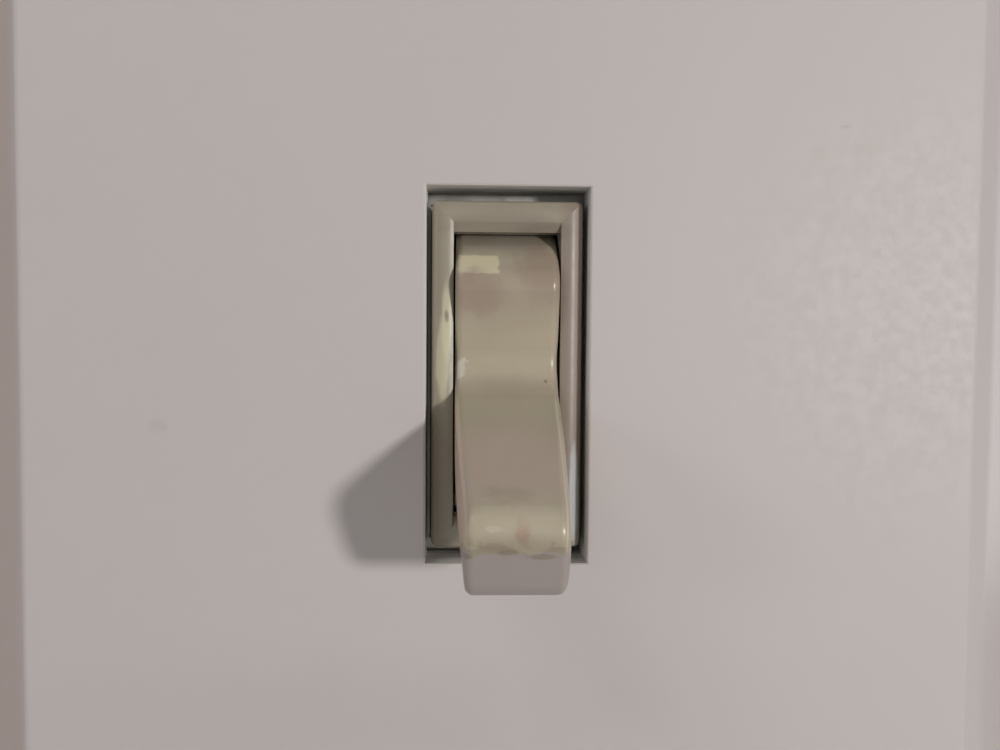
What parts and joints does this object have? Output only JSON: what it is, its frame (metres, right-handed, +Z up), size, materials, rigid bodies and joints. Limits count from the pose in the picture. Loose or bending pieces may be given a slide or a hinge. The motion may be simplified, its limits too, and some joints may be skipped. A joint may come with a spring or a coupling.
{
  "type": "toggle wall switch",
  "caption": "Side-wired toggle light switch on its mounting strap, behind a bevelled one-gang wall plate, with working lever, sprung plunger and rocking contact.",
  "frame": {"origin": "centre between the two box screws, on the wall's surface, where the plate's rim and the strap's ears rest", "axes": "+X to the right as seen from the room, +Y into the wall along the screws, +Z up"},
  "size_m": [0.0698, 0.0427, 0.1142],
  "materials": {
    "plate": "satin",
    "plate_screw": "satin",
    "strap_steel": "satin",
    "screw_steel": "satin",
    "fibre": "matte",
    "ground_green": "satin",
    "ivory": "gloss",
    "housing": "satin",
    "rivet_metal": "satin",
    "spring_steel": "polished",
    "plunger": "satin",
    "brass": "satin",
    "silver": "satin"
  },
  "bodies": {
    "switch": {"wall_plate": "plate", "plate_screw_upper": "plate_screw", "plate_screw_lower": "plate_screw", "mounting_strap": "strap_steel", "box_screw_upper": "screw_steel", "box_screw_lower": "screw_steel", "screw_retainer_upper": "fibre", "screw_retainer_lower": "fibre", "ground_screw": "ground_green", "collar_frame": "ivory", "base_housing": "housing", "rivet_upper": "rivet_metal", "rivet_lower": "rivet_metal", "fixed_contact": "silver", "pivot_terminal": "brass", "load_terminal": "brass", "line_terminal_screw": "brass", "load_terminal_screw": "brass", "stop_pad_upper": "fibre", "stop_pad_lower": "fibre"},
    "lever": {"toggle_lever": "ivory", "lever_spring": "spring_steel"},
    "plunger": {"spring_plunger": "plunger"},
    "rocker": {"contact_rocker": "brass", "moving_contact": "silver"}
  },
  "joints": [
    {"name": "lever_tilt", "type": "hinge", "parent": "switch", "child": "lever", "pos_m": [0, 0.00185, 0], "axis": [-1, 0, 0], "range_deg": [0, 49.6]},
    {"name": "plunger_slide", "type": "slide", "parent": "lever", "child": "plunger", "axis": [0, -0.9078, -0.4195], "range_m": [0, 0.0008], "stiffness_N_per_m": 100, "springref_m": -0.003, "deforming": ["lever_spring"]},
    {"name": "rocker_tilt", "type": "hinge", "parent": "switch", "child": "rocker", "pos_m": [0, 0.01273, 0], "axis": [1, 0, 0], "range_deg": [0, 13]}
  ],
  "couplings": [
    {"joint": "rocker_tilt", "follows": "lever_tilt", "ratio": 0.262}
  ]
}
